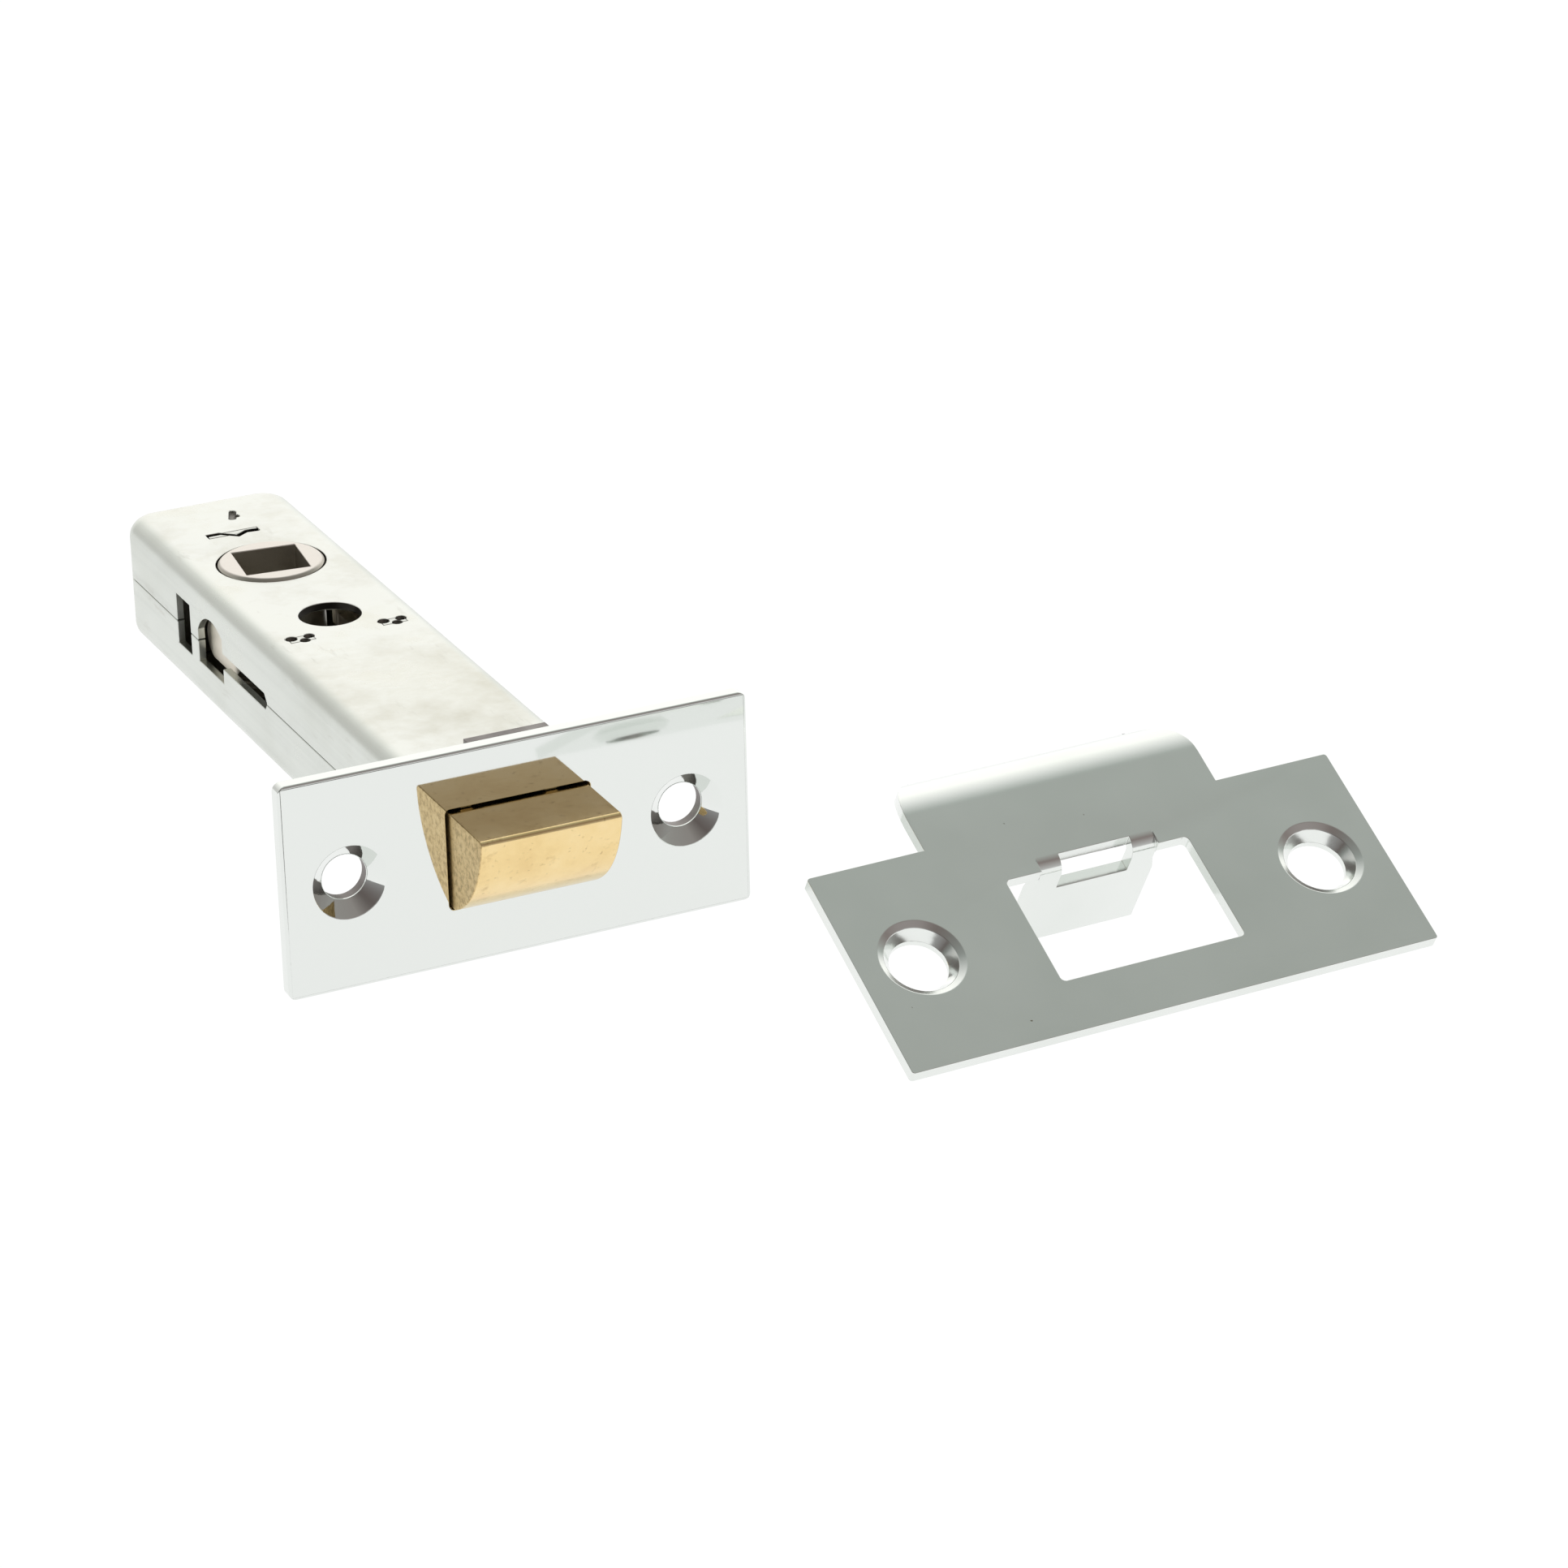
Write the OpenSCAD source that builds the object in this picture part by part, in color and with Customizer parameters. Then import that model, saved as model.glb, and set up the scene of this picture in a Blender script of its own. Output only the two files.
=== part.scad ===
// Tubular mortice latch with a separate lipped strike plate.
// Millimetres. Origin: centre of the forend's front face.
// X runs along the forend, Y runs into the door, Z is up along the spindle.

/* [Forend] */
// Forend length
forend_length = 57; // [52:0.5:70]
// Forend height across the door edge
forend_height = 26; // [24:0.5:32]
// Thickness of the polished front plate
forend_thick = 1.8; // [1.5:0.1:2.5]
// Radius rolled on the front edges
forend_edge = 0.35; // [0.2:0.05:1]
// Thickness of the plain plate behind it
backing_thick = 1.4; // [1:0.1:2]
// Distance between the two wood screws
screw_spacing = 41.2; // [38:0.1:46]
// Clearance hole for the wood screws
screw_hole_d = 5.4; // [4:0.1:6]
// Countersink diameter at the front face
screw_head_d = 8.9; // [7:0.1:10]

/* [Case] */
// Case width along the forend
case_width = 21.4; // [20.6:0.1:24]
// Case height along the spindle
case_height = 16; // [15.4:0.1:20]
// Sheet thickness of the two case halves
shell_thick = 1.0; // [0.8:0.05:1.2]
// Outside radius of the long folds
fold_radius = 2.4; // [1.5:0.1:3.5]
// Plan radius of the two back corners
back_radius = 4; // [3:0.1:6]
// Height of the seam between the case halves
seam_z = 0.3; // [0:0.1:0.6]
// Spindle axis to the back of the case
case_tail = 25; // [22:0.5:32]

/* [Spindle and fixings] */
// Forend face to the spindle axis
backset = 76; // [68:0.5:95]
// Spindle axis to the bolt-through hole
fixing_pitch = 19.5; // [18:0.1:22]
// Bolt-through hole diameter
fixing_hole_d = 7.6; // [6:0.1:9]
// Across flats of the square spindle hole
spindle_square = 8.05; // [7:0.05:8.2]
// Resting turn of the square, clockwise from above
spindle_turn = 7; // [0:1:10]

/* [Bolt] */
// Bolt width
bolt_width = 17.1; // [15:0.1:17.6]
// Bolt height
bolt_height = 11.7; // [10:0.1:12]
// Bolt projection, and the travel that pulls it flush
bolt_throw = 9.5; // [8:0.1:10]
// Radius of the rounded closing face
bevel_radius = 14.8; // [13:0.1:18]
// Gap round the bolt in the forend
bolt_gap = 0.3; // [0.2:0.05:0.5]
// Length of the bolt behind the backing plate
bolt_tail = 13.8; // [12:0.1:18]
// Diameter of the pin through bolt and drawbar
pin_d = 2.5; // [2:0.1:3]

/* [Follower] */
// Hole in the case for the follower
hub_hole_d = 13.6; // [13:0.1:14.4]
// Radial running clearance of the follower
hub_play = 0.2; // [0.05:0.01:0.3]
// How far the follower stands proud of the case
hub_proud = 0.3; // [0.1:0.05:0.6]
// Follower axis to the centre of each horn tip
horn_reach = 8.6; // [8.3:0.05:8.7]
// Angle of the horns ahead of the X axis
horn_lead = 34; // [32:0.5:36]
// Horn tip radius
horn_tip = 0.8; // [0.6:0.05:0.8]

/* [Drawbar] */
// Drawbar thickness
bar_thick = 1.6; // [1.2:0.1:1.8]
// Side clearance between the drawbar and the inside of the case
bar_gap = 0.5; // [0.3:0.1:1]
// Width of each rail
rail_width = 2.2; // [1.8:0.1:2.4]

/* [Spring] */
// Outside diameter of the bolt spring
spring_d = 11; // [9:0.1:12]
// Wire diameter
wire_d = 0.9; // [0.7:0.05:1.1]
// Number of turns
spring_turns = 11; // [8:1:14]

/* [Strike plate] */
// Strike length
strike_length = 67.6; // [60:0.1:76]
// Strike width without its lip
strike_width = 27.4; // [25:0.1:32]
// Strike thickness
strike_thick = 1.5; // [1.2:0.1:2]
// Distance between its two screw holes
strike_spacing = 51.6; // [46:0.1:58]
// Screw hole diameter in the strike
strike_hole_d = 6.8; // [5:0.1:7]
// Diameter of the pressed seat round each screw hole
strike_seat_d = 10.2; // [9:0.1:11]
// Bolt opening, along the strike
strike_mouth_length = 23.6; // [20:0.1:26]
// Bolt opening, across the strike
strike_mouth_width = 14.4; // [13:0.1:16]
// Width of the lip
lip_width = 38; // [34:0.5:46]
// Outside radius of the lip's bend
lip_radius = 7.5; // [5:0.1:10]
// Depth of the tab bent down behind the opening
strike_tab = 12.1; // [10:0.1:15]

/* [Hidden] */
$fn = 96;
e = 0.01;
front_y = forend_thick + backing_thick;
case_back = backset + case_tail;
inner_x = case_width / 2 - shell_thick;
inner_z = case_height / 2 - shell_thick;
seam_gap = 0.1;
slide_gap = 0.2;
mouth_x = bolt_width / 2 + bolt_gap;
mouth_z = bolt_height / 2 + bolt_gap;
fixing_y = backset - fixing_pitch;
abut_y = fixing_y - 5.7;
abut_thick = 1.5;
stop_y = backset + 11.5;
stop_thick = 1.0;
stop_x = -0.6;
stop_width = 6.5;
bar_z = seam_z;
bar_width = 2 * (inner_x - bar_gap);
rail_in = bar_width / 2 - rail_width;
hub_r = 6.4;
journal_r = hub_hole_d / 2 - hub_play;
horn_top = inner_z - 1.45;
horn_bottom = horn_top - 1.9;
claw_y = backset - horn_reach * sin(horn_lead) + horn_tip + 0.15;
claw_thick = 1.5;
bolt_rear = front_y + 0.05 + bolt_tail;
pin_y = front_y + 8.3;
shoulder_x = inner_x - 0.4;
shoulder_z = inner_z - 0.3;
stake_x = 5.9;
stake_width = 3;
front_tab_x = 5.5;
front_tab_width = 4;
strike_mouth_y = 6.6;
tab_face_y = strike_mouth_y + strike_mouth_width;
tab_x = 0.5;
tab_top = 7.6;
tab_end = 8.1;
strike_tilt = atan2(strike_tab, tab_face_y);
strike_pos = [57.1, -49.1, -forend_height / 2];
strike_turn = 2;

// ---- shared shapes ----

module round_rect(w, h, r) {
    square([w - 2 * r, h], center = true);
    square([w, h - 2 * r], center = true);
    for (x = [-1, 1], y = [-1, 1])
        translate([x * (w / 2 - r), y * (h / 2 - r)]) circle(r);
}

// Extrudes a shape drawn in (x, z) from y0 to y1.
module along_y(y0, y1) {
    translate([0, y1, 0]) rotate([90, 0, 0]) linear_extrude(y1 - y0) children();
}

// Extrudes a shape drawn in (y, z) from x0 to x1.
module along_x(x0, x1) {
    translate([x0, 0, 0]) rotate([90, 0, 90]) linear_extrude(x1 - x0) children();
}

module screw_holes(y0, y1) {
    for (s = [-1, 1]) translate([s * screw_spacing / 2, 0, 0])
        along_y(y0, y1) circle(d = screw_hole_d);
}

module bolt_mouth(y0, y1) {
    along_y(y0, y1) round_rect(2 * mouth_x, 2 * mouth_z, 0.6);
}

// The drawn case as a solid block, taken in by one sheet thickness for its inside.
module case_form(inset, y0) {
    hx = case_width / 2 - inset;
    hz = case_height / 2 - inset;
    rf = fold_radius - inset;
    rb = back_radius - inset;
    yb = case_back - inset;
    along_y(y0, yb - rb) round_rect(2 * hx, 2 * hz, rf);
    along_x(-hx + rb, hx - rb)
        translate([yb - 10, 0]) {
            round_rect(20, 2 * hz, rf);
        }
    for (s = [-1, 1]) translate([s * (hx - rb), yb - rb, 0])
        rotate_extrude() intersection() {
            round_rect(2 * rb, 2 * hz, rf);
            translate([0, -hz]) square([rb, 2 * hz]);
        }
}

module drawn_shell() {
    difference() {
        case_form(0, front_y);
        case_form(shell_thick, front_y - 1);
    }
}

// Side openings, drawn in (y, z) and cut through both long walls.
module side_windows() {
    for (s = [-1, 1]) scale([s, 1, 1]) along_x(inner_x - 0.5, case_width / 2 + 1) {
        translate([backset + 0.8, -2.6]) square([4.8, 6.6]);
        intersection() {
            translate([backset - 10.2, -2.4]) square([8.5, 7.5]);
            translate([backset - 6.7, -1.5]) circle(6);
        }
        polygon([[fixing_y - 4.9, -0.45], [backset - 10, -0.45], [backset - 10, 1.55],
            [fixing_y - 4.7, 1.55], [fixing_y - 5.5, 0.55]]);
    }
}

module case_holes() {
    translate([0, backset, 0]) cylinder(d = hub_hole_d, h = case_height + 2, center = true);
    translate([0, fixing_y, 0]) cylinder(d = fixing_hole_d, h = case_height + 2, center = true);
}

module stake_slots() {
    gap = 0.05;
    for (s = [-1, 1])
        translate([s * stake_x, abut_y, 0])
            cube([stake_width + 2 * gap, abut_thick + 2 * gap, case_height + 2], center = true);
    translate([stop_x, stop_y, 0])
        cube([stop_width + 4 * gap, stop_thick + 4 * gap, case_height + 2], center = true);
}

// Marks left where the tabs were punched over, cut in the tabs and in the sheet round them.
module punch_marks() {
    half = 0.4;
    slit = [[-3.3, 0.5], [-1.6, 0.5], [0.2, -1.1], [1.6, -0.2], [3.2, -0.4]];
    last = len(slit) - 1;
    for (z = [-1, 1]) {
        for (s = [-1, 1], dent = [[-1.1, 0.5, 0.75], [0.25, -0.55, 0.65], [1.15, 0.5, 0.7]])
            translate([s * stake_x + dent[0], abut_y + dent[1], z * (case_height / 2 + 0.1)])
                sphere(dent[2]);
        translate([stop_x, stop_y, z * case_height / 2]) linear_extrude(1, center = true)
            polygon(concat([for (p = slit) p + [0, half]],
                [for (i = [last:-1:0]) slit[i] - [0, half]]));
    }
}

module front_tabs(side) {
    for (s = [-1, 1])
        translate([s * front_tab_x - front_tab_width / 2, forend_thick + 0.05,
            side > 0 ? inner_z : -case_height / 2])
            cube([front_tab_width, backing_thick + 0.5, shell_thick]);
}

module case_half(side) {
    reach = case_height;
    difference() {
        union() {
            intersection() {
                drawn_shell();
                translate([-case_width, 0, side > 0 ? seam_z + seam_gap / 2 : seam_z - seam_gap / 2 - reach])
                    cube([2 * case_width, 2 * case_back, reach]);
            }
            front_tabs(side);
        }
        side_windows();
        case_holes();
        stake_slots();
        punch_marks();
    }
}

// ---- latch ----

module forend_plate() {
    nib_width = 1.5;
    nib_start = 0.2;
    color([0.87, 0.89, 0.89]) {
        difference() {
            intersection() {
                along_y(0, forend_thick) round_rect(forend_length, forend_height, 1.0);
                along_x(-forend_length, forend_length)
                    translate([5, 0]) round_rect(10, forend_height, forend_edge);
                translate([0, 0, -forend_height]) linear_extrude(2 * forend_height)
                    translate([0, 5]) round_rect(forend_length, 10, forend_edge);
            }
            bolt_mouth(-1, forend_thick + 1);
            screw_holes(-1, forend_thick + 1);
            for (s = [-1, 1]) translate([s * screw_spacing / 2, -e, 0]) rotate([-90, 0, 0])
                cylinder(d1 = screw_head_d, d2 = screw_hole_d, h = (screw_head_d - screw_hole_d) / 2);
        }
        for (x = [-6.2, 4.2])
            translate([x - nib_width / 2, nib_start, bolt_height / 2 + 0.1])
                cube([nib_width, forend_thick - nib_start, bolt_gap]);
    }
}

module forend_backing() {
    gap = 0.05;
    color([0.72, 0.73, 0.74])
    difference() {
        along_y(forend_thick, front_y) {
            round_rect(forend_length - 2.4, forend_height - 1.6, 1.2);
            square([10, forend_height - 0.2], center = true);
        }
        bolt_mouth(0, front_y + 1);
        screw_holes(0, front_y + 1);
        for (x = [-1, 1], z = [-1, 1])
            translate([x * front_tab_x, front_y, z * (case_height / 2 - shell_thick / 2)])
                cube([front_tab_width + 2 * gap, 4 * backing_thick, shell_thick + 2 * gap], center = true);
    }
}

module case_top_shell() {
    nick_r = 0.55;
    nick_length = 2.2;
    color([0.9, 0.9, 0.88])
    difference() {
        case_half(1);
        translate([1.5, backset + 17.3, case_height / 2 + 0.2]) rotate([0, 0, -21]) {
            rotate([90, 0, 0]) cylinder(r = nick_r, h = nick_length, center = true);
            translate([0.45, -0.3, 0]) sphere(nick_r);
            for (s = [-1, 1]) translate([0, s * nick_length / 2, 0]) sphere(nick_r);
        }
    }
}

module case_bottom_shell() {
    color([0.88, 0.88, 0.87]) case_half(-1);
}

module spring_abutment() {
    color([0.7, 0.7, 0.71])
    difference() {
        union() {
            along_y(abut_y - abut_thick / 2, abut_y + abut_thick / 2)
                round_rect(2 * (inner_x - slide_gap), 2 * (inner_z - 0.1), 1.8);
            for (s = [-1, 1])
                translate([s * stake_x, abut_y, 0])
                    cube([stake_width, abut_thick, case_height], center = true);
        }
        for (s = [-1, 1])
            translate([s * (rail_in - slide_gap + 5), abut_y, bar_z])
                cube([10, abut_thick + 1, bar_thick + 2 * slide_gap], center = true);
        punch_marks();
    }
}

module rear_stop() {
    color([0.7, 0.7, 0.71])
    difference() {
        union() {
            along_y(stop_y - stop_thick / 2, stop_y + stop_thick / 2)
                round_rect(2 * (inner_x - slide_gap), 2 * (inner_z - 0.1), 1.8);
            translate([stop_x, stop_y, 0]) cube([stop_width, stop_thick, case_height], center = true);
        }
        punch_marks();
    }
}

// Side view of the bolt's nose, drawn in (y, z): flat on top, rounded underneath.
module bolt_nose() {
    top = bolt_height / 2;
    rt = 0.6;
    cz = top + 1.9;
    cy = -bolt_throw + sqrt(pow(bevel_radius, 2) - pow(2.4, 2));
    ty = cy - sqrt(pow(bevel_radius - rt, 2) - pow(top - rt - cz, 2));
    tip = [ty, top - rt];
    away = (tip - [cy, cz]) / (bevel_radius - rt);
    difference() {
        intersection() {
            translate([-bolt_throw - 1, -top]) square([bolt_throw + 1 + front_y + 1, bolt_height]);
            union() {
                translate([cy, cz]) circle(bevel_radius);
                translate([0, -top]) square([front_y + 1, bolt_height]);
            }
        }
        polygon([tip, tip + [0, 3], tip + [-3, 3], tip + 3 * away]);
    }
    translate(tip) circle(rt);
}

module latch_bolt() {
    y0 = front_y + 0.05;
    color([0.78, 0.62, 0.38])
    difference() {
        union() {
            along_x(-bolt_width / 2, bolt_width / 2) bolt_nose();
            along_y(y0, bolt_rear) round_rect(2 * shoulder_x, 2 * shoulder_z, 1.7);
            along_y(bolt_rear - 1, bolt_rear + 4) circle(d = spring_d - 2 * wire_d - 0.8);
        }
        translate([-case_width, pin_y - 2.6, bar_z - bar_thick / 2 - 0.1])
            cube([2 * case_width, bolt_rear, bar_thick + 0.2]);
        translate([0, pin_y, 0]) cylinder(d = pin_d + 0.04, h = case_height, center = true);
    }
}

module bolt_pin() {
    length = 2 * shoulder_z - 1;
    color([0.75, 0.75, 0.76])
    translate([0, pin_y, -length / 2]) {
        cylinder(d1 = pin_d - 0.6, d2 = pin_d, h = 0.3);
        translate([0, 0, 0.3]) cylinder(d = pin_d, h = length - 0.6);
        translate([0, 0, length - 0.3]) cylinder(d1 = pin_d, d2 = pin_d - 0.6, h = 0.3);
    }
}

module drawbar() {
    hw = bar_width / 2;
    z0 = bar_z - bar_thick / 2;
    z1 = bar_z + bar_thick / 2;
    flange = 0.8;
    flange_y = backset - 3.6;
    color([0.86, 0.83, 0.76])
    difference() {
        union() {
            translate([-hw, pin_y - 2.5, z0]) cube([2 * hw, 5, bar_thick]);
            for (s = [-1, 1]) scale([s, 1, 1]) {
                translate([rail_in, pin_y - 2.5, z0]) cube([rail_width, claw_y - pin_y + 4, bar_thick]);
                along_x(hw - flange, hw) {
                    translate([flange_y, bar_z + 0.5]) circle(2.6);
                    polygon([[backset - 12, z0], [backset - 10.5, -1.8], [flange_y, -1.8],
                        [flange_y, 3.4], [backset - 9, 3.4], [backset - 12, z1]]);
                }
                translate([hub_r + 0.3, claw_y, z0])
                    cube([hw - hub_r - 0.9, claw_thick, horn_top - z0]);
            }
        }
        translate([0, pin_y, 0]) cylinder(d = pin_d + 0.04, h = 10, center = true);
    }
}

// Round wire wound along Y, with one closed turn at each end.
coil_r = spring_d / 2 - wire_d / 2;
coil_y0 = bolt_rear + wire_d / 2 + 0.03;
coil_y1 = abut_y - abut_thick / 2 - wire_d / 2 - 0.03;
coil_steps = 20;
coil_sides = 8;
end_lead = wire_d * 1.04;
mid_lead = (coil_y1 - coil_y0 - 2 * end_lead) / (spring_turns - 2);
function coil_y(t) = t < 1 ? coil_y0 + end_lead * t
    : t < spring_turns - 1 ? coil_y0 + end_lead + mid_lead * (t - 1)
    : coil_y1 - end_lead * (spring_turns - t);
function coil_ring(i) = let (t = i / coil_steps, a = 360 * t)
    [for (j = [0:coil_sides - 1]) let (b = 360 * j / coil_sides, r = coil_r + wire_d / 2 * cos(b))
        [r * cos(a), coil_y(t) + wire_d / 2 * sin(b), r * sin(a)]];

module bolt_spring() {
    n = spring_turns * coil_steps;
    m = coil_sides;
    points = [for (i = [0:n]) each coil_ring(i)];
    sides = [for (i = [0:n - 1], j = [0:m - 1]) let (k = (j + 1) % m)
        [i * m + j, i * m + k, (i + 1) * m + k, (i + 1) * m + j]];
    color([0.62, 0.63, 0.65])
    polyhedron(points, concat(sides, [[for (j = [m - 1:-1:0]) j], [for (j = [0:m - 1]) n * m + j]]));
}

// One horn, drawn in plan from the follower's axis, for the -X side.
module horn() {
    tip = horn_reach * [-cos(horn_lead), -sin(horn_lead)];
    translate(tip) circle(horn_tip);
    polygon([tip + [0, horn_tip], [-3, tip[1] + horn_tip], [-2, tip[1] - horn_tip - 0.5],
        tip + [0, -horn_tip]]);
}

module follower() {
    end_z = case_height / 2 + hub_proud;
    rim = 0.4;
    flange_r = journal_r + 1;
    color([0.87, 0.85, 0.82])
    translate([0, backset, 0])
    difference() {
        union() {
            rotate_extrude() polygon([[0, -end_z], [journal_r - rim, -end_z], [journal_r, -end_z + rim],
                [journal_r, -inner_z + 0.1], [flange_r, -inner_z + 0.1], [flange_r, -inner_z + 1.3],
                [hub_r, -inner_z + 1.3], [hub_r, inner_z - 1.3], [flange_r, inner_z - 1.3],
                [flange_r, inner_z - 0.1], [journal_r, inner_z - 0.1], [journal_r, end_z - rim],
                [journal_r - rim, end_z], [0, end_z]]);
            translate([0, 0, horn_bottom]) linear_extrude(horn_top - horn_bottom) {
                horn();
                scale([-1, 1]) horn();
            }
        }
        rotate([0, 0, -spindle_turn])
            cube([spindle_square, spindle_square, 3 * case_height], center = true);
    }
}

// ---- strike plate ----

module strike_side() {
    bend = 55;
    tail = 1.5;
    start = 7.9;
    square([start, strike_thick]);
    translate([start, strike_thick - lip_radius]) {
        intersection() {
            difference() {
                circle(lip_radius);
                circle(lip_radius - strike_thick);
            }
            polygon([[0, 0], [0, 2 * lip_radius], 2 * lip_radius * [sin(bend), 1],
                2 * lip_radius * [sin(bend), cos(bend)]]);
        }
        rotate(-bend) translate([0, lip_radius - strike_thick]) square([tail, strike_thick]);
    }
}

// Cuts the lip's two outer corners to a radius.
module lip_corners() {
    r = 8;
    yc = strike_width + 12.5 - r;
    for (s = [-1, 1]) scale([s, 1, 1]) linear_extrude(60, center = true)
        polygon(concat([for (a = [0:7.5:90]) [lip_width / 2 - r + r * sin(a), yc + r * cos(a)]],
            [[lip_width / 2 + 3, yc], [lip_width / 2 + 3, yc + r + 4], [lip_width / 2 - r, yc + r + 4]]));
}

module strike_blank() {
    inner = 0.5;
    by = tab_face_y + strike_thick + inner;
    difference() {
        union() {
            linear_extrude(strike_thick)
                translate([0, strike_width / 2]) round_rect(strike_length, strike_width, 0.4);
            difference() {
                along_x(-lip_width / 2, lip_width / 2)
                    translate([strike_width - 3, 0]) strike_side();
                lip_corners();
            }
        }
        translate([0, strike_mouth_y + strike_mouth_width / 2, -1])
            linear_extrude(5) round_rect(strike_mouth_length, strike_mouth_width, 0.6);
        translate([tab_x - tab_top, tab_face_y - 1, -1]) cube([2 * tab_top, by - tab_face_y + 1, 5]);
    }
    // Bend and a short run of sheet at each end of it.
    along_x(tab_x - tab_top, tab_x + tab_top) {
        translate([by, -inner]) intersection() {
            difference() {
                circle(strike_thick + inner);
                circle(inner);
            }
            translate([-5, 0]) square([5, 5]);
        }
        translate([by, 0]) square([2, strike_thick]);
        translate([tab_face_y, -inner - 0.5]) square([strike_thick, 0.5]);
    }
    translate([tab_x, 0, 0]) along_y(tab_face_y, tab_face_y + strike_thick)
        polygon([[-tab_top, -inner], [tab_top, -inner], [tab_top, -1.2], [tab_end, -3],
            [tab_end, -strike_tab], [-tab_end, -strike_tab], [-tab_end, -3], [-tab_top, -1.2]]);
}

module strike_plate() {
    seat = (strike_seat_d - strike_hole_d) / 2;
    rim = 0.4;
    rim_width = 2 * rim;
    color([0.66, 0.68, 0.66])
    translate(strike_pos) rotate([0, 0, strike_turn]) rotate([strike_tilt, 0, 0])
    difference() {
        union() {
            strike_blank();
            for (s = [-1, 1]) translate([s * strike_spacing / 2, 14, -0.9])
                cylinder(r1 = strike_hole_d / 2 + 0.7, r2 = strike_hole_d / 2 + 1.6, h = 0.9 + e);
        }
        for (s = [-1, 1]) translate([s * strike_spacing / 2, 14, 0]) {
            translate([0, 0, -3]) cylinder(d = strike_hole_d, h = 6);
            translate([0, 0, strike_thick - seat])
                cylinder(d1 = strike_hole_d, d2 = strike_seat_d - 2 * rim_width, h = seat - rim);
            translate([0, 0, strike_thick - rim])
                cylinder(d1 = strike_seat_d - 2 * rim_width, d2 = strike_seat_d, h = rim + e);
        }
        translate([tab_x - 4.6, tab_face_y - 1, -2.5]) cube([9.2, 2.8, 10]);
    }
}

forend_plate();
forend_backing();
case_top_shell();
case_bottom_shell();
spring_abutment();
rear_stop();
latch_bolt();
bolt_pin();
drawbar();
bolt_spring();
follower();
strike_plate();
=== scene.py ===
import math

import bmesh
import bpy
from mathutils import Matrix, Vector


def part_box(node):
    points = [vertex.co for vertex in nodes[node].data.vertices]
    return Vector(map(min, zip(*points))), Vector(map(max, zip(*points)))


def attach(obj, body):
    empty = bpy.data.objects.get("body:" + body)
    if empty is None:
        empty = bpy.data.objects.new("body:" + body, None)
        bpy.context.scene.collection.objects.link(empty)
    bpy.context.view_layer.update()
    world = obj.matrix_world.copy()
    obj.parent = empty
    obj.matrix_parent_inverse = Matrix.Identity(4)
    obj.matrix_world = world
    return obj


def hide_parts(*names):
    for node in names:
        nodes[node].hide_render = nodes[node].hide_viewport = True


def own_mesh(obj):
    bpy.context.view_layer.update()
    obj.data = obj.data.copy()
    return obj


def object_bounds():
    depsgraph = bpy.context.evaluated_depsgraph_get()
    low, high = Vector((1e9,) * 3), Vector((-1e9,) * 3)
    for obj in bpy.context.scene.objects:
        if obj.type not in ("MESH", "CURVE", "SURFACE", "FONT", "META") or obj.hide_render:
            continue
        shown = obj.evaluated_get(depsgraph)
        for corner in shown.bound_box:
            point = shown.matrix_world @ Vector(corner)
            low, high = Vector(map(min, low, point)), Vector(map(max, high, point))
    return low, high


# x runs across the latch, y back into the door from the forend's face, z up out of the case's wide side
mm = 0.001

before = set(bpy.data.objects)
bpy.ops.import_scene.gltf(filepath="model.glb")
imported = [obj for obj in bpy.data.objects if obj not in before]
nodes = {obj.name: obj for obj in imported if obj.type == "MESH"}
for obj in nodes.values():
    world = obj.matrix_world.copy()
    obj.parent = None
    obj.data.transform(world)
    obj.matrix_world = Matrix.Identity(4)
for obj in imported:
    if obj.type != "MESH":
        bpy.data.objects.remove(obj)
cadBox = [list(corner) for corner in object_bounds()]
print("frame loaded:", len(nodes), "CAD pieces")


def newMaterial(name, colour, metallic, roughness):
    material = bpy.data.materials.new(name)
    material.use_nodes = True
    shader = material.node_tree.nodes["Principled BSDF"]
    shader.inputs["Base Color"].default_value = (*colour, 1)
    shader.inputs["Metallic"].default_value = metallic
    shader.inputs["Roughness"].default_value = roughness
    return material, material.node_tree, shader


def objectCoords(tree, scale=(1, 1, 1), turn=(0, 0, 0)):
    coords = tree.nodes.new("ShaderNodeTexCoord")
    mapping = tree.nodes.new("ShaderNodeMapping")
    mapping.inputs["Scale"].default_value = scale
    mapping.inputs["Rotation"].default_value = turn
    tree.links.new(coords.outputs["Object"], mapping.inputs["Vector"])
    return mapping.outputs["Vector"]


def noise(tree, vector, scale, detail=4, roughness=0.55):
    node = tree.nodes.new("ShaderNodeTexNoise")
    node.inputs["Scale"].default_value = scale
    node.inputs["Detail"].default_value = detail
    node.inputs["Roughness"].default_value = roughness
    tree.links.new(vector, node.inputs["Vector"])
    return node.outputs["Fac"]


def ramp(tree, factor, stops):
    node = tree.nodes.new("ShaderNodeValToRGB")
    elements = node.color_ramp.elements
    while len(elements) < len(stops):
        elements.new(0.5)
    for element, (place, colour) in zip(elements, stops):
        element.position = place
        element.color = (*colour, 1)
    tree.links.new(factor, node.inputs["Fac"])
    return node.outputs["Color"]


def mapRange(tree, value, low, high, toLow, toHigh):
    node = tree.nodes.new("ShaderNodeMapRange")
    limits = (("From Min", low), ("From Max", high), ("To Min", toLow), ("To Max", toHigh))
    for name, number in limits:
        node.inputs[name].default_value = number
    tree.links.new(value, node.inputs["Value"])
    return node.outputs["Result"]


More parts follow.
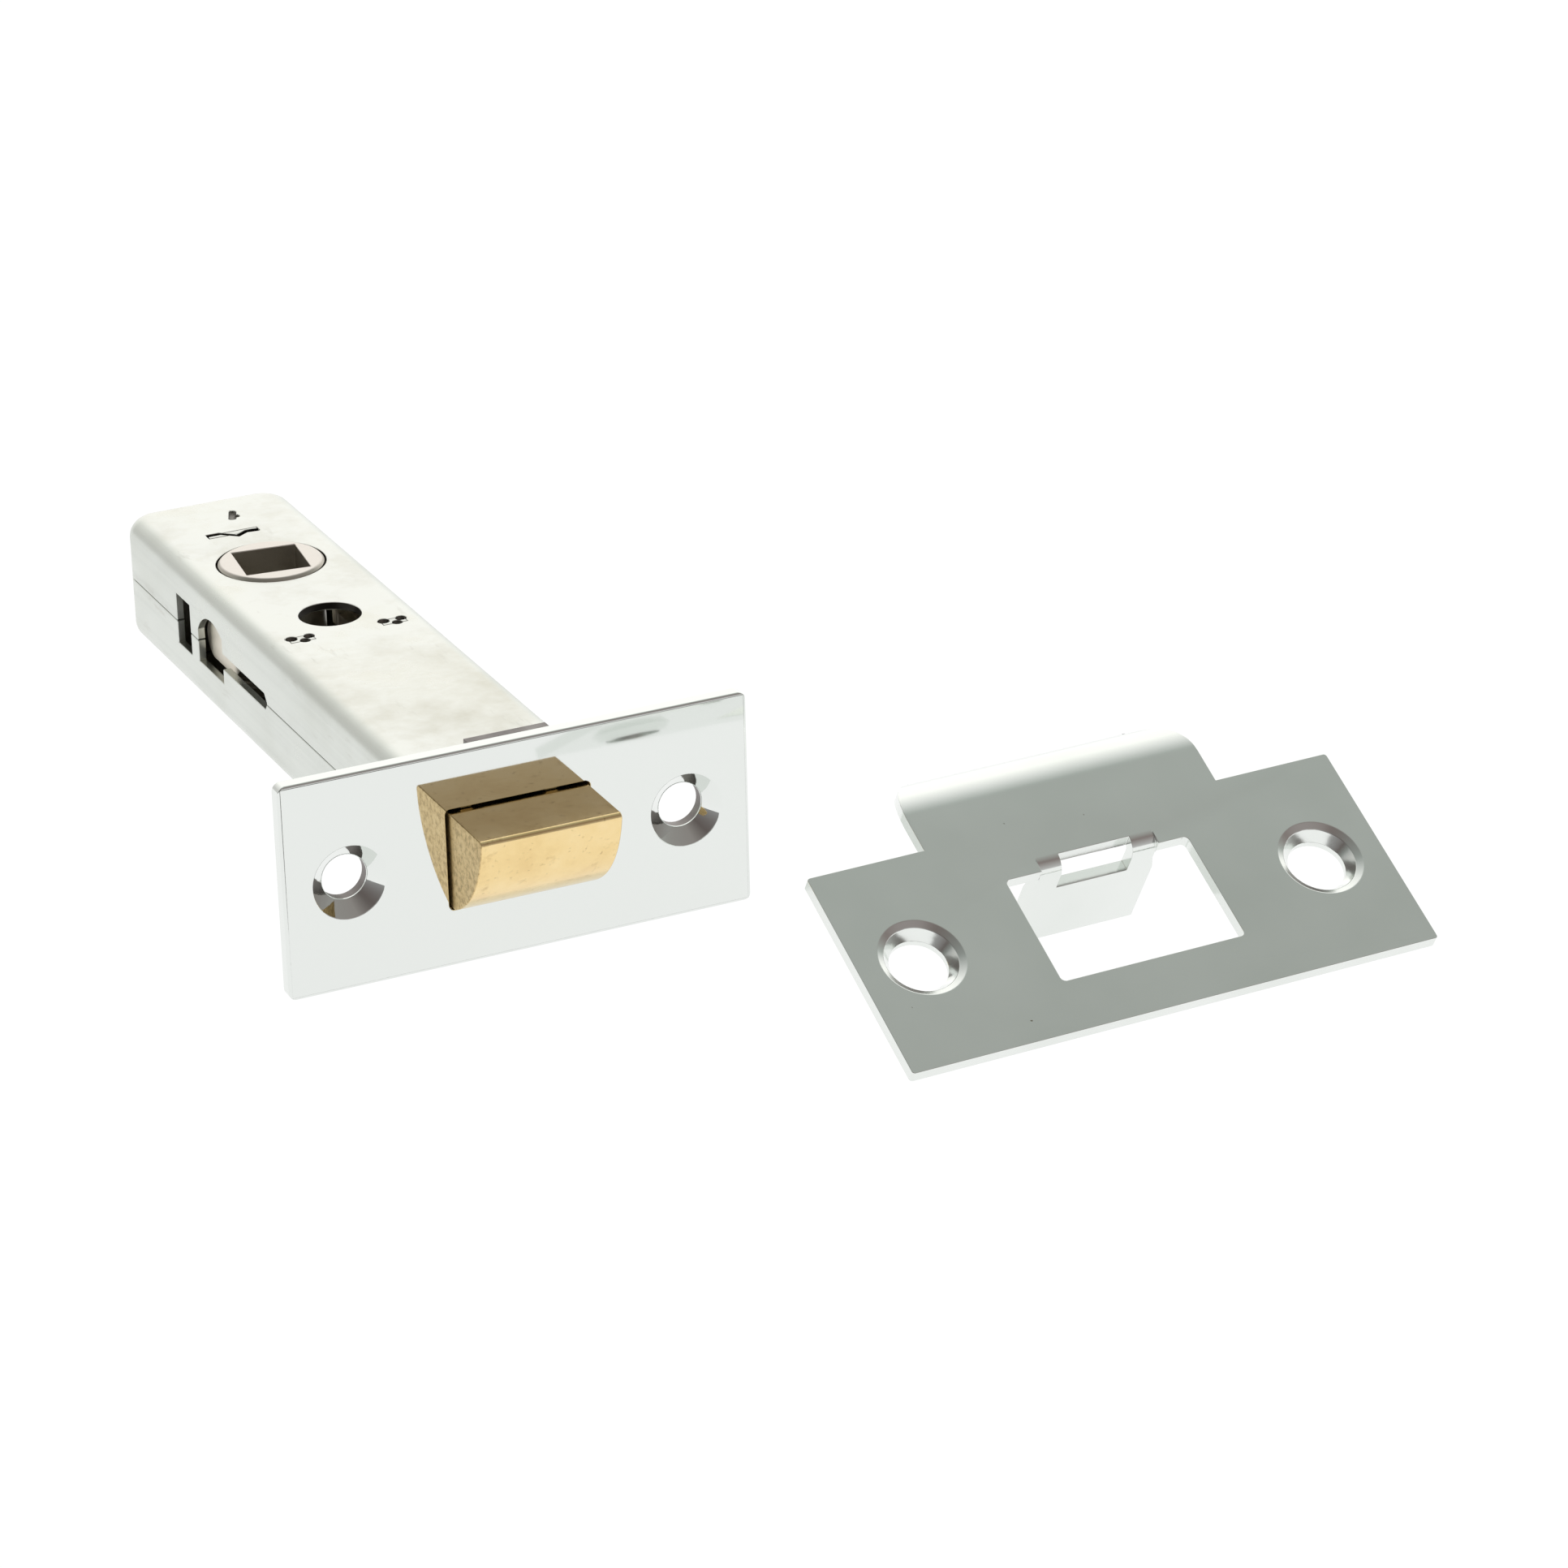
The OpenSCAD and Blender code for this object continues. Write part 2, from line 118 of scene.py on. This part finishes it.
def mixColour(tree, factor, first, second):
    node = tree.nodes.new("ShaderNodeMix")
    node.data_type = "RGBA"
    # a colour Mix node keeps its factor in socket 0 and its two colours in 6 and 7
    for socket, value in ((node.inputs[0], factor), (node.inputs[6], first), (node.inputs[7], second)):
        if isinstance(value, tuple):
            socket.default_value = (*value, 1)
        else:
            tree.links.new(value, socket)
    return node.outputs[2]


def mathNode(tree, operation, first, second=0.0):
    node = tree.nodes.new("ShaderNodeMath")
    node.operation = operation
    for socket, value in ((node.inputs[0], first), (node.inputs[1], second)):
        if isinstance(value, (float, int)):
            socket.default_value = value
        else:
            tree.links.new(value, socket)
    return node.outputs[0]


def both(tree, first, second):
    return mathNode(tree, "MULTIPLY", first, second)


def nearerThan(tree, value, limit):
    return mathNode(tree, "LESS_THAN", mathNode(tree, "ABSOLUTE", value), limit)


def furtherThan(tree, value, limit):
    return mathNode(tree, "GREATER_THAN", mathNode(tree, "ABSOLUTE", value), limit)


def placeParts(tree):
    coords = tree.nodes.new("ShaderNodeTexCoord")
    split = tree.nodes.new("ShaderNodeSeparateXYZ")
    tree.links.new(coords.outputs["Object"], split.inputs[0])
    return split.outputs


def distanceFrom(tree, first, second, place):
    # distance in a plane from a point on it
    a = mathNode(tree, "SUBTRACT", first, place[0])
    b = mathNode(tree, "SUBTRACT", second, place[1])
    squares = mathNode(tree, "ADD", both(tree, a, a), both(tree, b, b))
    return mathNode(tree, "SQRT", squares)


def addBump(tree, shader, height, strength, distance):
    bump = tree.nodes.new("ShaderNodeBump")
    bump.inputs["Strength"].default_value = strength
    bump.inputs["Distance"].default_value = distance
    tree.links.new(height, bump.inputs["Height"])
    tree.links.new(bump.outputs["Normal"], shader.inputs["Normal"])


def colourBy(tree, shader, colour):
    tree.links.new(colour, shader.inputs["Base Color"])


def roughBy(tree, shader, pattern, span, roughness):
    tree.links.new(mapRange(tree, pattern, *span, *roughness), shader.inputs["Roughness"])


# every Noise entry below is a noise pattern's scale, detail and, where it is given, roughness
midSpan = (0.3, 0.7)                      # a noise pattern stays mostly between these


chromeDetails = {
    "colour": (0.79, 0.815, 0.79),
    "hazeNoise": (90, 3),
    "hazeSpan": (0.35, 0.75),
    "hazeRoughness": (0.03, 0.065),
    "waveNoise": (45, 1, 0.3),
    "waveStrength": 0.03,
    "waveHeight": 0.4 * mm,
}


def polishedChrome(d):
    material, tree, shader = newMaterial("polishedChrome", d["colour"], 1, 0.05)
    coords = objectCoords(tree)
    haze = noise(tree, coords, *d["hazeNoise"])
    roughBy(tree, shader, haze, d["hazeSpan"], d["hazeRoughness"])
    addBump(tree, shader, noise(tree, coords, *d["waveNoise"]), d["waveStrength"], d["waveHeight"])
    return material


nickelDetails = {
    "colour": (0.8, 0.83, 0.8),
    "cloudNoise": (60, 3),
    "clouds": ((0.3, (0.775, 0.805, 0.775)), (0.7, (0.83, 0.855, 0.83))),
    "roughness": (0.1, 0.16),
    "pitNoise": (700, 2),
    "pitSpan": (0.765, 0.785),
    "pitColour": (0.3, 0.27, 0.22),
    "grainNoise": (2600, 2),
    "grainStretch": (1, 0.12, 1),
    "grainStrength": 0.04,
    "grainHeight": 0.05 * mm,
}


def satinNickel(d):
    material, tree, shader = newMaterial("satinNickel", d["colour"], 1, 0.14)
    coords = objectCoords(tree)
    cloud = noise(tree, coords, *d["cloudNoise"])
    base = ramp(tree, cloud, d["clouds"])
    pits = noise(tree, coords, *d["pitNoise"])
    spot = mapRange(tree, pits, *d["pitSpan"], 0, 1)
    colourBy(tree, shader, mixColour(tree, spot, base, d["pitColour"]))
    roughBy(tree, shader, cloud, midSpan, d["roughness"])
    grain = noise(tree, objectCoords(tree, d["grainStretch"]), *d["grainNoise"])
    addBump(tree, shader, grain, d["grainStrength"], d["grainHeight"])
    return material


zincDetails = {
    "colour": (0.76, 0.77, 0.74),
    "cloudNoise": (75, 5, 0.62),
    "clouds": ((0.25, (0.67, 0.665, 0.59)), (0.45, (0.755, 0.765, 0.725)), (0.8, (0.81, 0.82, 0.795))),
    "roughness": (0.24, 0.4),
    "roughSpan": (0.3, 0.75),
    "smudgeNoise": (38, 6, 0.7),
    "smudgeSpan": (0.47, 0.68),
    "smudgeAmount": 0.75,
    "smudgeColour": (0.58, 0.565, 0.475),
    "wallFrom": (8.4 * mm, 9.4 * mm),     # the top's flat turns into a side wall between these
    "wallAmount": 0.8,
    "lineNoise": (900, 3, 0.6),
    "lineStretch": (1, 0.02, 1),
    "lines": ((0.3, (0.61, 0.64, 0.6)), (0.6, (0.67, 0.7, 0.655))),
    "streakNoise": (420, 4, 0.7),
    "streakStretch": (1, 0.25, 1),
    "streakTurn": (0, 0, 0.5),
    "streakSpan": (0.62, 0.78),
    "streakAmount": 0.5,
    "streakColour": (0.46, 0.45, 0.4),
    "insideHalf": (9.8 * mm, 7.1 * mm),   # half width and height, just past the inner face
    "insideBack": 98.5 * mm,
    # painted shade on the inside of the case
    "insideShadeColour": (0.46, 0.46, 0.38),
    "holeShadeHalf": (8.1 * mm, 7.93 * mm),    # half width and height, just below the surface
    "holeShadeBack": 98 * mm,
    # painted shade on the walls of the holes through the sheet
    "holeShadeColour": (0.14, 0.13, 0.115),
    "grainNoise": (1500, 3),
    "grainStrength": 0.1,
    "grainHeight": 0.06 * mm,
}


def caseZinc(d):
    material, tree, shader = newMaterial("caseZinc", d["colour"], 1, 0.34)
    coords = objectCoords(tree)
    x, y, z = placeParts(tree)
    cloud = noise(tree, coords, *d["cloudNoise"])
    base = ramp(tree, cloud, d["clouds"])
    smears = noise(tree, coords, *d["smudgeNoise"])
    smudge = mapRange(tree, smears, *d["smudgeSpan"], 0, d["smudgeAmount"])
    smudged = mixColour(tree, smudge, base, d["smudgeColour"])
    # the drawn side walls carry fine lines along the case and are duller
    wall = mapRange(tree, mathNode(tree, "ABSOLUTE", x), *d["wallFrom"], 0, 1)
    lines = noise(tree, objectCoords(tree, d["lineStretch"]), *d["lineNoise"])
    drawn = ramp(tree, lines, d["lines"])
    walled = mixColour(tree, both(tree, wall, d["wallAmount"]), smudged, drawn)
    streaks = noise(tree, objectCoords(tree, d["streakStretch"], d["streakTurn"]), *d["streakNoise"])
    streak = mapRange(tree, streaks, *d["streakSpan"], 0, d["streakAmount"])
    outside = mixColour(tree, streak, walled, d["streakColour"])
    # painted shade: the walls of the holes and punch marks through the sheet are painted near-black,
    # and the inside of the case is painted dark
    halfWidth, halfHeight = d["insideHalf"]
    within = both(tree, nearerThan(tree, x, halfWidth), nearerThan(tree, z, halfHeight))
    insideShade = both(tree, mathNode(tree, "LESS_THAN", y, d["insideBack"]), within)
    halfWidth, halfHeight = d["holeShadeHalf"]
    sunk = both(tree, nearerThan(tree, x, halfWidth), nearerThan(tree, z, halfHeight))
    holeShade = both(tree, sunk, mathNode(tree, "LESS_THAN", y, d["holeShadeBack"]))
    holeShaded = mixColour(tree, holeShade, outside, d["holeShadeColour"])
    colourBy(tree, shader, mixColour(tree, insideShade, holeShaded, d["insideShadeColour"]))
    roughBy(tree, shader, cloud, d["roughSpan"], d["roughness"])
    addBump(tree, shader, noise(tree, coords, *d["grainNoise"]), d["grainStrength"], d["grainHeight"])
    return material


plainZincDetails = {
    "colour": (0.5, 0.5, 0.48),
    "cloudNoise": (150, 4),
    "clouds": ((0.3, (0.2, 0.2, 0.17)), (0.7, (0.4, 0.4, 0.36))),
    "roughness": (0.32, 0.5),
    "tabFrom": 7.1 * mm,                  # the tabs pass through the case's sheet from here
    "endFrom": 7.93 * mm,                 # and end level with its outside
    # painted shade in the slots around the tabs
    "holeShadeColour": (0.12, 0.115, 0.1),
    "endColour": (0.74, 0.75, 0.71),
    "grainNoise": (1800, 2),
    "grainStrength": 0.1,
    "grainHeight": 0.05 * mm,
}


def plainZinc(d):
    material, tree, shader = newMaterial("plainZinc", d["colour"], 1, 0.4)
    coords = objectCoords(tree)
    cloud = noise(tree, coords, *d["cloudNoise"])
    dull = ramp(tree, cloud, d["clouds"])
    z = placeParts(tree)["Z"]
    # the tabs' ends are pale level with the case's outside, and where the tabs pass through the sheet
    # they are painted near-black as shade in the slots
    slotShaded = mixColour(tree, furtherThan(tree, z, d["tabFrom"]), dull, d["holeShadeColour"])
    colourBy(tree, shader, mixColour(tree, furtherThan(tree, z, d["endFrom"]), slotShaded, d["endColour"]))
    roughBy(tree, shader, cloud, midSpan, d["roughness"])
    addBump(tree, shader, noise(tree, coords, *d["grainNoise"]), d["grainStrength"], d["grainHeight"])
    return material


# the backing plate is painted dark, partly as shade in the gap behind the forend plate and partly as
# its oxidised sheared edges
backingDetails = {
    "colour": (0.3, 0.28, 0.27),
    "roughness": 0.45,
    "cloudNoise": (180, 4),
    "clouds": ((0.3, (0.16, 0.14, 0.135)), (0.7, (0.36, 0.34, 0.33))),
}


def backingShadedSteel(d):
    material, tree, shader = newMaterial("backingShadedSteel", d["colour"], 1, d["roughness"])
    cloud = noise(tree, objectCoords(tree), *d["cloudNoise"])
    colourBy(tree, shader, ramp(tree, cloud, d["clouds"]))
    return material


brassDetails = {
    "colour": (0.86, 0.66, 0.34),
    "cloudNoise": (120, 5, 0.65),
    "clouds": ((0.25, (0.76, 0.545, 0.25)), (0.5, (0.87, 0.665, 0.33)), (0.8, (0.93, 0.75, 0.43))),
    "roughness": (0.12, 0.24),
    "pitNoise": (1500, 3, 0.6),
    "pitSpan": (0.63, 0.72),
    "pitAmount": 0.45,
    "pitColour": (0.36, 0.25, 0.11),
    "stainNoise": (380, 4, 0.7),
    "stainSpan": (0.6, 0.76),
    "stainAmount": 0.55,
    "stainColour": (0.46, 0.31, 0.13),
    "sawnFrom": (8.4 * mm, 8.5 * mm),     # the sawn ends start between these
    "gritNoise": (1500, 4, 0.7),
    "sawnColours": ((0.38, (0.48, 0.34, 0.15)), (0.52, (0.73, 0.54, 0.26)), (0.7, (0.81, 0.63, 0.34))),
    "sawnRougher": 0.2,
    "grainNoise": (3200, 2),
    "grainStretch": (0.08, 1, 1),
    "grainStrength": 0.12,
    "grainHeight": 0.06 * mm,
}


def boltBrass(d):
    material, tree, shader = newMaterial("boltBrass", d["colour"], 1, 0.18)
    coords = objectCoords(tree)
    cloud = noise(tree, coords, *d["cloudNoise"])
    base = ramp(tree, cloud, d["clouds"])
    pits = noise(tree, coords, *d["pitNoise"])
    pit = mapRange(tree, pits, *d["pitSpan"], 0, d["pitAmount"])
    spotted = mixColour(tree, pit, base, d["pitColour"])
    stains = noise(tree, coords, *d["stainNoise"])
    stain = mapRange(tree, stains, *d["stainSpan"], 0, d["stainAmount"])
    stained = mixColour(tree, stain, spotted, d["stainColour"])
    # the two sawn ends are rougher and speckled
    x = placeParts(tree)["X"]
    sawn = mapRange(tree, mathNode(tree, "ABSOLUTE", x), *d["sawnFrom"], 0, 1)
    grit = noise(tree, coords, *d["gritNoise"])
    speckled = ramp(tree, grit, d["sawnColours"])
    colourBy(tree, shader, mixColour(tree, sawn, stained, speckled))
    smooth = mapRange(tree, cloud, *midSpan, *d["roughness"])
    rougher = mathNode(tree, "ADD", smooth, both(tree, sawn, d["sawnRougher"]))
    tree.links.new(rougher, shader.inputs["Roughness"])
    grain = noise(tree, objectCoords(tree, d["grainStretch"]), *d["grainNoise"])
    addBump(tree, shader, grain, d["grainStrength"], d["grainHeight"])
    return material


followerDetails = {
    "colour": (0.76, 0.72, 0.68),
    "cloudNoise": (200, 5, 0.65),
    "clouds": ((0.25, (0.68, 0.635, 0.58)), (0.6, (0.79, 0.745, 0.695))),
    "roughness": (0.3, 0.46),
    "centre": (0, 76 * mm),
    "faceHeight": 8.15 * mm,              # below the two end faces everything is painted as shade
    "edgeFrom": (6.2 * mm, 6.4 * mm),     # and so is the running edge, from this radius
    # painted shade on the hub inside the case
    "hubShadeColour": (0.52, 0.49, 0.43),
    "grainNoise": (2400, 3),
    "grainStrength": 0.18,
    "grainHeight": 0.06 * mm,
}


def followerSteel(d):
    material, tree, shader = newMaterial("followerSteel", d["colour"], 1, 0.36)
    coords = objectCoords(tree)
    cloud = noise(tree, coords, *d["cloudNoise"])
    face = ramp(tree, cloud, d["clouds"])
    # painted shade darkens the square hole's walls and the running edge inside the case
    x, y, z = placeParts(tree)
    radius = distanceFrom(tree, x, y, d["centre"])
    edge = mapRange(tree, radius, *d["edgeFrom"], 0, 1)
    hubShade = mathNode(tree, "MAXIMUM", nearerThan(tree, z, d["faceHeight"]), edge)
    colourBy(tree, shader, mixColour(tree, hubShade, face, d["hubShadeColour"]))
    roughBy(tree, shader, cloud, midSpan, d["roughness"])
    addBump(tree, shader, noise(tree, coords, *d["grainNoise"]), d["grainStrength"], d["grainHeight"])
    return material


drawbarDetails = {
    "colour": (0.8, 0.75, 0.66),
    "roughness": 0.42,
    "paleFrom": (63.5 * mm, 66 * mm),     # the rails are painted near-black as shade inside the case and the flange behind them is pale
    # painted shade on the rails inside the case
    "railShadeColour": (0.12, 0.12, 0.11),
    "cloudNoise": (220, 4),
    "clouds": ((0.3, (0.74, 0.68, 0.58)), (0.7, (0.86, 0.82, 0.73))),
    "bumpStrength": 0.1,
    "bumpHeight": 0.1 * mm,
}


def drawbarSteel(d):
    material, tree, shader = newMaterial("drawbarSteel", d["colour"], 1, d["roughness"])
    coords = objectCoords(tree)
    pale = mapRange(tree, placeParts(tree)["Y"], *d["paleFrom"], 0, 1)
    cloud = noise(tree, coords, *d["cloudNoise"])
    flange = ramp(tree, cloud, d["clouds"])
    colourBy(tree, shader, mixColour(tree, pale, d["railShadeColour"], flange))
    addBump(tree, shader, cloud, d["bumpStrength"], d["bumpHeight"])
    return material


wireDetails = {
    "colour": (0.5, 0.51, 0.53),
    "cloudNoise": (300, 3),
    "clouds": ((0.3, (0.38, 0.385, 0.4)), (0.7, (0.58, 0.59, 0.61))),
    "roughness": (0.22, 0.38),
}


def springWire(d):
    material, tree, shader = newMaterial("springWire", d["colour"], 1, 0.3)
    cloud = noise(tree, objectCoords(tree), *d["cloudNoise"])
    colourBy(tree, shader, ramp(tree, cloud, d["clouds"]))
    roughBy(tree, shader, cloud, midSpan, d["roughness"])
    return material


finishes = {
    "polished": polishedChrome(chromeDetails),
    "zinc_plain": plainZinc(plainZincDetails),
    "backing_shaded_steel": backingShadedSteel(backingDetails),
    "case_steel": caseZinc(zincDetails),
    "bolt_brass": boltBrass(brassDetails),
    "follower_steel": followerSteel(followerDetails),
    "drawbar_steel": drawbarSteel(drawbarDetails),
    "spring_wire": springWire(wireDetails),
    "strike_steel": satinNickel(nickelDetails),
}
print("finishes mixed:", len(finishes))


easing = {
    "mergeDistance": 0.002 * mm,
    "flatAngle": math.radians(0.5),
    "sharpAngle": math.radians(22),
    "segments": 3,
}


def softened(nodeName, d):
    # a merged copy of the CAD piece, its flat faces joined up and its hard edges eased
    mesh = bpy.data.meshes.new(d["name"])
    work = bmesh.new()
    work.from_mesh(nodes[nodeName].data)
    bmesh.ops.remove_doubles(work, verts=work.verts, dist=easing["mergeDistance"])
    bmesh.ops.dissolve_limit(
        work, angle_limit=easing["flatAngle"], use_dissolve_boundaries=False,
        verts=work.verts, edges=work.edges, delimit=set())
    work.to_mesh(mesh)
    work.free()
    for spare in [a for a in mesh.attributes if a.name == "custom_normal"]:
        mesh.attributes.remove(spare)
    mesh.materials.clear()
    mesh.materials.append(finishes[d["finish"]])
    mesh.shade_smooth()
    mesh.set_sharp_from_angle(angle=easing["sharpAngle"])
    piece = bpy.data.objects.new(d["name"], mesh)
    bpy.context.scene.collection.objects.link(piece)
    bevel = piece.modifiers.new("easedEdges", "BEVEL")
    bevel.width = d["edge"]
    bevel.segments = easing["segments"]
    bevel.limit_method = "ANGLE"
    bevel.angle_limit = easing["sharpAngle"]
    bevel.use_clamp_overlap = False
    bevel.harden_normals = True
    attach(piece, d["body"])
    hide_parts(nodeName)


softPieces = {
    "forend_plate": {
        "name": "forendFront", "body": "case",
        "slot": "polished", "finish": "polished", "edge": 0.12 * mm,
    },
    "forend_backing": {
        "name": "forendBack", "body": "case",
        "slot": "zinc_plain", "finish": "backing_shaded_steel", "edge": 0.08 * mm,
    },
    "case_top_shell": {
        "name": "caseTop", "body": "case",
        "slot": "case_steel", "finish": "case_steel", "edge": 0.12 * mm,
    },
    "case_bottom_shell": {
        "name": "caseBottom", "body": "case",
        "slot": "case_steel", "finish": "case_steel", "edge": 0.12 * mm,
    },
    "spring_abutment": {
        "name": "springPlate", "body": "case",
        "slot": "zinc_plain", "finish": "zinc_plain", "edge": 0.08 * mm,
    },
    "rear_stop": {
        "name": "stopPlate", "body": "case",
        "slot": "zinc_plain", "finish": "zinc_plain", "edge": 0.08 * mm,
    },
    "latch_bolt": {
        "name": "brassBolt", "body": "bolt",
        "slot": "bolt_brass", "finish": "bolt_brass", "edge": 0.15 * mm,
    },
    "bolt_pin": {
        "name": "crossPin", "body": "bolt",
        "slot": "zinc_plain", "finish": "zinc_plain", "edge": 0.05 * mm,
    },
    "drawbar": {
        "name": "pullBar", "body": "bolt",
        "slot": "follower_steel", "finish": "drawbar_steel", "edge": 0.12 * mm,
    },
    "follower": {
        "name": "squareHub", "body": "follower",
        "slot": "follower_steel", "finish": "follower_steel", "edge": 0.12 * mm,
    },
    "strike_plate": {
        "name": "strikeLip", "body": "strike",
        "slot": "strike_steel", "finish": "strike_steel", "edge": 0.08 * mm,
    },
}
for nodeName, details in softPieces.items():
    softened(nodeName, details)
print("edges eased on", len(softPieces), "pieces")


springDetails = {
    "outside": 11.0 * mm,
    "wire": 0.9 * mm,
    "turns": 11,
    "endLead": 1.04,                      # wire diameters between the closed end turns
    "stepsPerTurn": 36,
    "sides": 12,
    "peek": 0.01,                         # part of a turn used to find the wire's direction
    "sharpAngle": math.radians(50),
    "travel": 9.5 * mm,
}


def makeSpring(d):
    low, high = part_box("bolt_spring")
    radius = d["outside"] / 2 - d["wire"] / 2
    start = low[1] + d["wire"] / 2
    end = high[1] - d["wire"] / 2
    lead = d["wire"] * d["endLead"]
    midLead = (end - start - 2 * lead) / (d["turns"] - 2)

    def wirePlace(turn):
        if turn < 1:
            y = start + lead * turn
        elif turn < d["turns"] - 1:
            y = start + lead + midLead * (turn - 1)
        else:
            y = end - lead * (d["turns"] - turn)
        a = 2 * math.pi * turn
        return Vector((radius * math.cos(a), y, radius * math.sin(a)))

    work = bmesh.new()
    ring = bmesh.ops.create_circle(
        work, cap_ends=True, segments=d["sides"], radius=d["wire"] / 2)["verts"]
    place = wirePlace(0)
    ahead = (wirePlace(d["peek"]) - place).normalized()
    outward = Vector((place.x, 0, place.z)).normalized()
    side = ahead.cross(outward).normalized()
    turnIn = Matrix((outward, side, ahead)).transposed().to_4x4()
    bmesh.ops.transform(work, matrix=Matrix.Translation(place) @ turnIn, verts=ring)
    last = list(dict.fromkeys(e for v in ring for e in v.link_edges))
    oldPlace, oldTurn = place, turnIn
    for i in range(1, d["turns"] * d["stepsPerTurn"] + 1):
        t = i / d["stepsPerTurn"]
        place = wirePlace(t)
        ahead = (wirePlace(min(t + d["peek"], d["turns"])) - wirePlace(t - d["peek"])).normalized()
        outward = Vector((place.x, 0, place.z)).normalized()
        side = ahead.cross(outward).normalized()
        outward = side.cross(ahead)
        turnIn = Matrix((outward, side, ahead)).transposed().to_4x4()
        new = bmesh.ops.extrude_edge_only(work, edges=last)["geom"]
        verts = [g for g in new if isinstance(g, bmesh.types.BMVert)]
        last = [g for g in new if isinstance(g, bmesh.types.BMEdge)]
        move = Matrix.Translation(place) @ turnIn @ oldTurn.inverted() @ Matrix.Translation(-oldPlace)
        bmesh.ops.transform(work, matrix=move, verts=verts)
        oldPlace, oldTurn = place, turnIn
    bmesh.ops.contextual_create(work, geom=last)
    bmesh.ops.recalc_face_normals(work, faces=work.faces)
    # the operators leave the faces in no fixed order, so they are listed along the wire
    work.verts.index_update()
    count = len(work.verts)

    def alongWire(face):
        corners = [v.index for v in face.verts]
        return min(corners) * count + max(corners)

    work.faces.sort(key=alongWire)
    mesh = bpy.data.meshes.new("boltCoil")
    work.to_mesh(mesh)
    work.free()
    mesh.shade_smooth()
    mesh.set_sharp_from_angle(angle=d["sharpAngle"])
    mesh.materials.append(finishes["spring_wire"])
    coil = bpy.data.objects.new("boltCoil", mesh)
    bpy.context.scene.collection.objects.link(coil)
    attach(coil, "case")
    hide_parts("bolt_spring")
    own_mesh(coil)


makeSpring(springDetails)
print("spring wound")


floorDetails = {
    "halfSize": 3,
    "colour": (0.02, 0.02, 0.02),
    "glow": 1.0,
}


def makeFloor(d):
    low = cadBox[0][2]
    work = bmesh.new()
    bmesh.ops.create_grid(work, x_segments=1, y_segments=1, size=d["halfSize"])
    bmesh.ops.translate(work, vec=(0, 0, low), verts=work.verts)
    mesh = bpy.data.meshes.new("paleFloor")
    work.to_mesh(mesh)
    work.free()
    floor = bpy.data.objects.new("paleFloor", mesh)
    bpy.context.scene.collection.objects.link(floor)
    material, _, shader = newMaterial("floorPaper", d["colour"], 0, 1)
    shader.inputs["Emission Color"].default_value = (1, 1, 1, 1)
    shader.inputs["Emission Strength"].default_value = d["glow"]
    mesh.materials.append(material)


# the sky changes from the back (0) over the top (0.5) to the front (1), and is dimmer on the left
skyDetails = {
    "stops": (
        (0.0, (1.26, 1.25, 1.22)),
        (0.22, (1.24, 1.23, 1.19)),
        (0.34, (0.85, 0.86, 0.84)),
        (0.45, (0.45, 0.48, 0.455)),
        (0.72, (0.25, 0.21, 0.2)),
        (1.0, (0.55, 0.54, 0.54)),
    ),
    "leftSpan": (-0.45, 0.1),
    "leftBrightness": (0.56, 1),
    "strength": 1,
}


def makeWorld(d):
    world = bpy.data.worlds.new("softStudio")
    bpy.context.scene.world = world
    world.use_nodes = True
    tree = world.node_tree
    background = tree.nodes["Background"]
    coords = tree.nodes.new("ShaderNodeTexCoord")
    split = tree.nodes.new("ShaderNodeSeparateXYZ")
    tree.links.new(coords.outputs["Generated"], split.inputs[0])
    turn = mathNode(tree, "ARCTAN2", split.outputs["Z"], split.outputs["Y"])
    overhead = mapRange(tree, turn, 0, math.pi, 0, 1)
    sky = ramp(tree, overhead, d["stops"])
    left = mapRange(tree, split.outputs["X"], *d["leftSpan"], *d["leftBrightness"])
    scaled = tree.nodes.new("ShaderNodeVectorMath")
    scaled.operation = "SCALE"
    tree.links.new(sky, scaled.inputs[0])
    tree.links.new(left, scaled.inputs["Scale"])
    tree.links.new(scaled.outputs[0], background.inputs["Color"])
    background.inputs["Strength"].default_value = d["strength"]


cameraDetails = {
    "turn": (1.942, -0.461, 0.271),       # rotation vector, in radians
    "shift": (-29.662, 6.916, 639.337),   # the origin as the camera has it, in mm
    "sensorWidth": 36,
    "lens": 130.585,
    "clip": (0.01, 20),
}


def makeCamera(d):
    turn = Vector(d["turn"])
    shift = Vector(d["shift"]) * mm
    toView = Matrix.Rotation(turn.length, 3, turn.normalized())
    place = -(toView.transposed() @ shift)
    flip = Matrix(((1, 0, 0), (0, -1, 0), (0, 0, -1)))
    camera = bpy.data.objects.new("frontLeftView", bpy.data.cameras.new("frontLeftView"))
    camera.matrix_world = Matrix.Translation(place) @ (toView.transposed() @ flip).to_4x4()
    camera.data.sensor_width = d["sensorWidth"]
    camera.data.lens = d["lens"]
    camera.data.clip_start, camera.data.clip_end = d["clip"]
    bpy.context.scene.collection.objects.link(camera)
    bpy.context.scene.camera = camera


makeFloor(floorDetails)
makeWorld(skyDetails)
makeCamera(cameraDetails)
bpy.context.scene.view_settings.view_transform = "Standard"
print("studio set")
